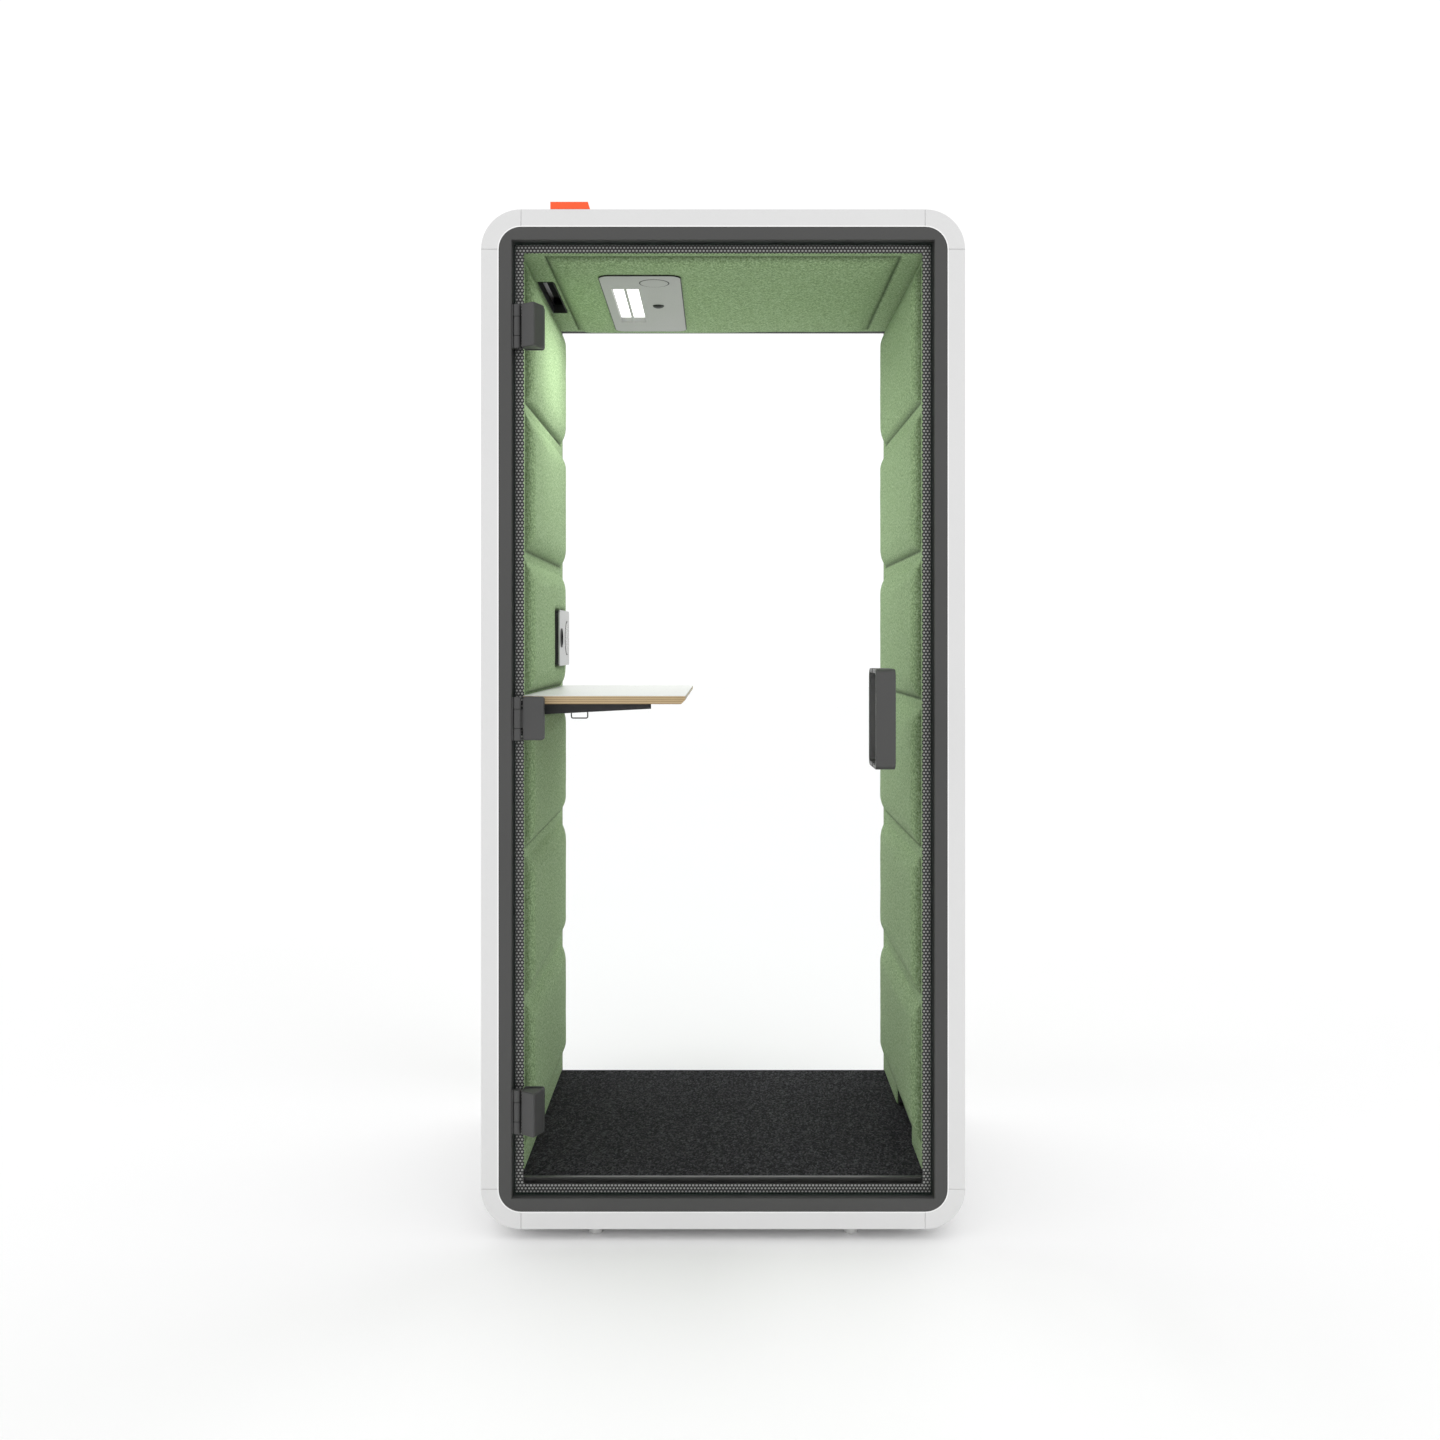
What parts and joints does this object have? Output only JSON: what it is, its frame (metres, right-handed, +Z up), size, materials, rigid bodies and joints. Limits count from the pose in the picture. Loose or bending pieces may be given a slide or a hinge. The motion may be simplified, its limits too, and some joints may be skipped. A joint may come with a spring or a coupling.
{
  "type": "acoustic office pod",
  "caption": "Free-standing one-person acoustic pod with a rounded shell, hinged glass door, fixed glass back, quilted walls and ceiling, shelf, power module, lamp and ventilation.",
  "frame": {"origin": "on the floor, under the middle of the whole pod with its outer handle", "axes": "+Z up, -Y is the door side, +X to the right as seen from the door"},
  "size_m": [1.09, 0.956, 2.3417],
  "materials": {
    "white_shell": "white satin lacquer on board",
    "dark_frame": "dark grey powder coat",
    "glass": "clear, polished edges",
    "black_rubber": "matte",
    "core": "pressed acoustic felt",
    "floor_board": "raw board",
    "green_fabric": "sage green upholstery weave",
    "carpet": "black loop pile",
    "aluminium": "brushed",
    "grey_plate": "light grey satin coat",
    "lamp_white": "opal, lit",
    "black_plastic": "moulded",
    "white_plastic": "gloss",
    "plywood": "birch plywood, clear varnish",
    "white_laminate": "satin laminate",
    "black_steel": "black powder coat",
    "handle_grey": "dark grey satin",
    "hinge_grey": "dark graphite satin",
    "zinc": "zinc plated",
    "orange_lens": "translucent, lit"
  },
  "bodies": {
    "pod": {"roof_panel": "white_shell", "bottom_panel": "white_shell", "left_side_panel": "white_shell", "right_side_panel": "white_shell", "top_right_corner_profile": "white_shell", "bottom_right_corner_profile": "white_shell", "bottom_left_corner_profile": "white_shell", "top_left_corner_profile": "white_shell", "front_frame": "dark_frame", "rear_frame": "dark_frame", "rear_glazing_bead": "dark_frame", "rear_glass": "glass", "door_seal": "black_rubber", "rear_gasket": "black_rubber", "left_wall_core": "core", "right_wall_core": "core", "ceiling_board": "core", "floor_core": "floor_board", "left_wall_pad": "green_fabric", "right_wall_pad": "green_fabric", "ceiling_pad": "green_fabric", "carpet": "carpet", "threshold_strip": "aluminium", "service_plate": "grey_plate", "lamp_tray": "grey_plate", "round_cover": "grey_plate", "power_module_plate": "grey_plate", "lamp_diffuser": "lamp_white", "motion_sensor": "black_plastic", "vent_duct": "black_plastic", "fan_frame": "black_plastic", "exhaust_grille": "black_plastic", "intake_grille": "black_plastic", "power_module_box": "black_plastic", "power_socket": "black_plastic", "charging_disc": "white_plastic", "status_lamp_base": "white_plastic", "shelf_board": "plywood", "shelf_laminate": "white_laminate", "shelf_bracket_front": "black_steel", "shelf_bracket_rear": "black_steel", "bag_hook": "black_steel", "hinge_jamb_top": "hinge_grey", "hinge_jamb_middle": "hinge_grey", "hinge_jamb_bottom": "hinge_grey", "status_lamp_lens": "orange_lens"},
    "door": {"door_glass": "glass", "handle_outer": "handle_grey", "handle_inner": "handle_grey", "hinge_leaf_top": "hinge_grey", "hinge_leaf_middle": "hinge_grey", "hinge_leaf_bottom": "hinge_grey", "hinge_clamp_top": "hinge_grey", "hinge_clamp_middle": "hinge_grey", "hinge_clamp_bottom": "hinge_grey"},
    "fan": {"fan_rotor": "black_plastic"},
    "foot_front_left": {"foot_front_left": "zinc"},
    "foot_front_right": {"foot_front_right": "zinc"},
    "foot_rear_left": {"foot_rear_left": "zinc"},
    "foot_rear_right": {"foot_rear_right": "zinc"}
  },
  "joints": [
    {"name": "door_swing", "type": "hinge", "parent": "pod", "child": "door", "pos_m": [-0.4642, -0.4155, 1.175], "axis": [0, 0, -1], "range_deg": [0, 100]},
    {"name": "fan_spin", "type": "hinge", "parent": "pod", "child": "fan", "pos_m": [-0.37, 0.041, 2.298], "axis": [0, 0, 1], "continuous": true},
    {"name": "foot_front_left_level", "type": "slide", "parent": "pod", "child": "foot_front_left", "axis": [0, 0, -1], "range_m": [0, 0.015]},
    {"name": "foot_front_right_level", "type": "slide", "parent": "pod", "child": "foot_front_right", "axis": [0, 0, -1], "range_m": [0, 0.015]},
    {"name": "foot_rear_left_level", "type": "slide", "parent": "pod", "child": "foot_rear_left", "axis": [0, 0, -1], "range_m": [0, 0.015]},
    {"name": "foot_rear_right_level", "type": "slide", "parent": "pod", "child": "foot_rear_right", "axis": [0, 0, -1], "range_m": [0, 0.015]}
  ]
}
